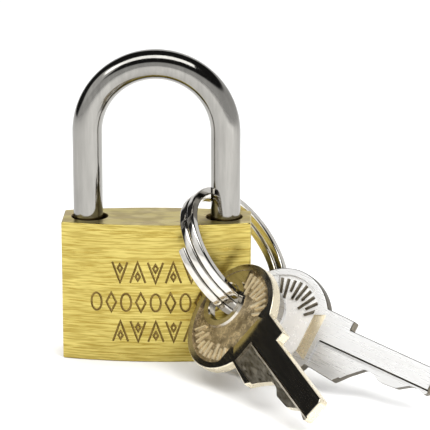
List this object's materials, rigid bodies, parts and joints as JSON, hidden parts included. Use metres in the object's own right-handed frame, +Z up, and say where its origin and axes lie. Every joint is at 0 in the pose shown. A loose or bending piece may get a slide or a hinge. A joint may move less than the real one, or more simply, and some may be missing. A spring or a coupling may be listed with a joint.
{
  "type": "padlock",
  "caption": "Small brass padlock with a chromed U shackle, a pin-tumbler plug in its base, and flat keys on a split ring round one shackle leg.",
  "frame": {"origin": "middle of the casing's bottom face", "axes": "+Z up through the shackle, +X from the heel leg to the toe leg, +Y from the casing's front to its back"},
  "size_m": [0.0795, 0.0677, 0.0673],
  "materials": {
    "casing": "brushed, with fine level scratches",
    "shackle": "satin chrome plate on hardened steel",
    "shackle_spring": "drawn wire",
    "shackle_pin": "turned brass",
    "plug": "turned brass",
    "plug_pin": "turned brass",
    "latch": "turned brass",
    "latch_spring": "drawn wire",
    "latch_bore_plug": "turned brass",
    "key_pin_1": "turned brass",
    "key_pin_2": "turned brass",
    "key_pin_3": "turned brass",
    "key_pin_4": "turned brass",
    "driver_pin_1": "turned steel",
    "driver_pin_2": "turned steel",
    "driver_pin_3": "turned steel",
    "driver_pin_4": "turned steel",
    "driver_spring_1": "drawn wire",
    "driver_spring_2": "drawn wire",
    "driver_spring_3": "drawn wire",
    "driver_spring_4": "drawn wire",
    "chamber_plug_1": "turned brass",
    "chamber_plug_2": "turned brass",
    "chamber_plug_3": "turned brass",
    "chamber_plug_4": "turned brass",
    "key_ring": "bright nickel plate",
    "key_1": "nickel plate with dark reflections",
    "key_2": "satin nickel plate"
  },
  "bodies": {
    "casing": {"casing": "casing", "shackle_spring": "shackle_spring", "shackle_pin": "shackle_pin", "plug_pin": "plug_pin", "latch_spring": "latch_spring", "latch_bore_plug": "latch_bore_plug", "driver_spring_1": "driver_spring_1", "driver_spring_2": "driver_spring_2", "driver_spring_3": "driver_spring_3", "driver_spring_4": "driver_spring_4", "chamber_plug_1": "chamber_plug_1", "chamber_plug_2": "chamber_plug_2", "chamber_plug_3": "chamber_plug_3", "chamber_plug_4": "chamber_plug_4"},
    "shackle": {"shackle": "shackle"},
    "plug": {"plug": "plug"},
    "latch": {"latch": "latch"},
    "driver_pin_1": {"driver_pin_1": "driver_pin_1"},
    "driver_pin_2": {"driver_pin_2": "driver_pin_2"},
    "driver_pin_3": {"driver_pin_3": "driver_pin_3"},
    "driver_pin_4": {"driver_pin_4": "driver_pin_4"},
    "key_pin_1": {"key_pin_1": "key_pin_1"},
    "key_pin_2": {"key_pin_2": "key_pin_2"},
    "key_pin_3": {"key_pin_3": "key_pin_3"},
    "key_pin_4": {"key_pin_4": "key_pin_4"},
    "key_ring": {"key_ring": "key_ring"},
    "key_1": {"key_1": "key_1"},
    "key_2": {"key_2": "key_2"}
  },
  "joints": [
    {"name": "shackle_lift", "type": "slide", "parent": "casing", "child": "shackle", "axis": [0, 0, 1], "range_m": [0, 0.012], "deforming": ["shackle_spring"]},
    {"name": "plug_turn", "type": "hinge", "parent": "casing", "child": "plug", "pos_m": [-0.003, 0, 0], "axis": [0, 0, 1], "range_deg": [0, 90]},
    {"name": "latch_slide", "type": "slide", "parent": "casing", "child": "latch", "axis": [1, 0, 0], "range_m": [0, 0.00227], "deforming": ["latch_spring"]},
    {"name": "driver_pin_1_slide", "type": "slide", "parent": "casing", "child": "driver_pin_1", "axis": [1, 0, 0], "range_m": [0, 0.001], "deforming": ["driver_spring_1"]},
    {"name": "driver_pin_2_slide", "type": "slide", "parent": "casing", "child": "driver_pin_2", "axis": [1, 0, 0], "range_m": [0, 0.001], "deforming": ["driver_spring_2"]},
    {"name": "driver_pin_3_slide", "type": "slide", "parent": "casing", "child": "driver_pin_3", "axis": [1, 0, 0], "range_m": [0, 0.001], "deforming": ["driver_spring_3"]},
    {"name": "driver_pin_4_slide", "type": "slide", "parent": "casing", "child": "driver_pin_4", "axis": [1, 0, 0], "range_m": [0, 0.001], "deforming": ["driver_spring_4"]},
    {"name": "key_pin_1_slide", "type": "slide", "parent": "plug", "child": "key_pin_1", "axis": [0, 1, 0], "range_m": [0, 0.001]},
    {"name": "key_pin_2_slide", "type": "slide", "parent": "plug", "child": "key_pin_2", "axis": [0, 1, 0], "range_m": [0, 0.001]},
    {"name": "key_pin_3_slide", "type": "slide", "parent": "plug", "child": "key_pin_3", "axis": [0, 1, 0], "range_m": [0, 0.001]},
    {"name": "key_pin_4_slide", "type": "slide", "parent": "plug", "child": "key_pin_4", "axis": [0, 1, 0], "range_m": [0, 0.001]},
    {"name": "key_ring_turn", "type": "hinge", "parent": "casing", "child": "key_ring", "pos_m": [0.017, -0.00285, 0.0235], "axis": [0.73, -0.32, 0.604], "range_deg": [-20, 0]},
    {"name": "key_1_swing", "type": "hinge", "parent": "key_ring", "child": "key_1", "pos_m": [0.01545, -0.0148, 0.01555], "axis": [-0.6646, -0.4535, 0.5938], "range_deg": [-4, 45]},
    {"name": "key_2_swing", "type": "hinge", "parent": "key_ring", "child": "key_2", "pos_m": [0.0231, -0.0115, 0.01255], "axis": [-0.4795, -0.7032, 0.525], "range_deg": [0, 12]}
  ],
  "couplings": [
    {"joint": "latch_slide", "follows": "plug_turn", "m_per_rad": 0.0014405}
  ]
}
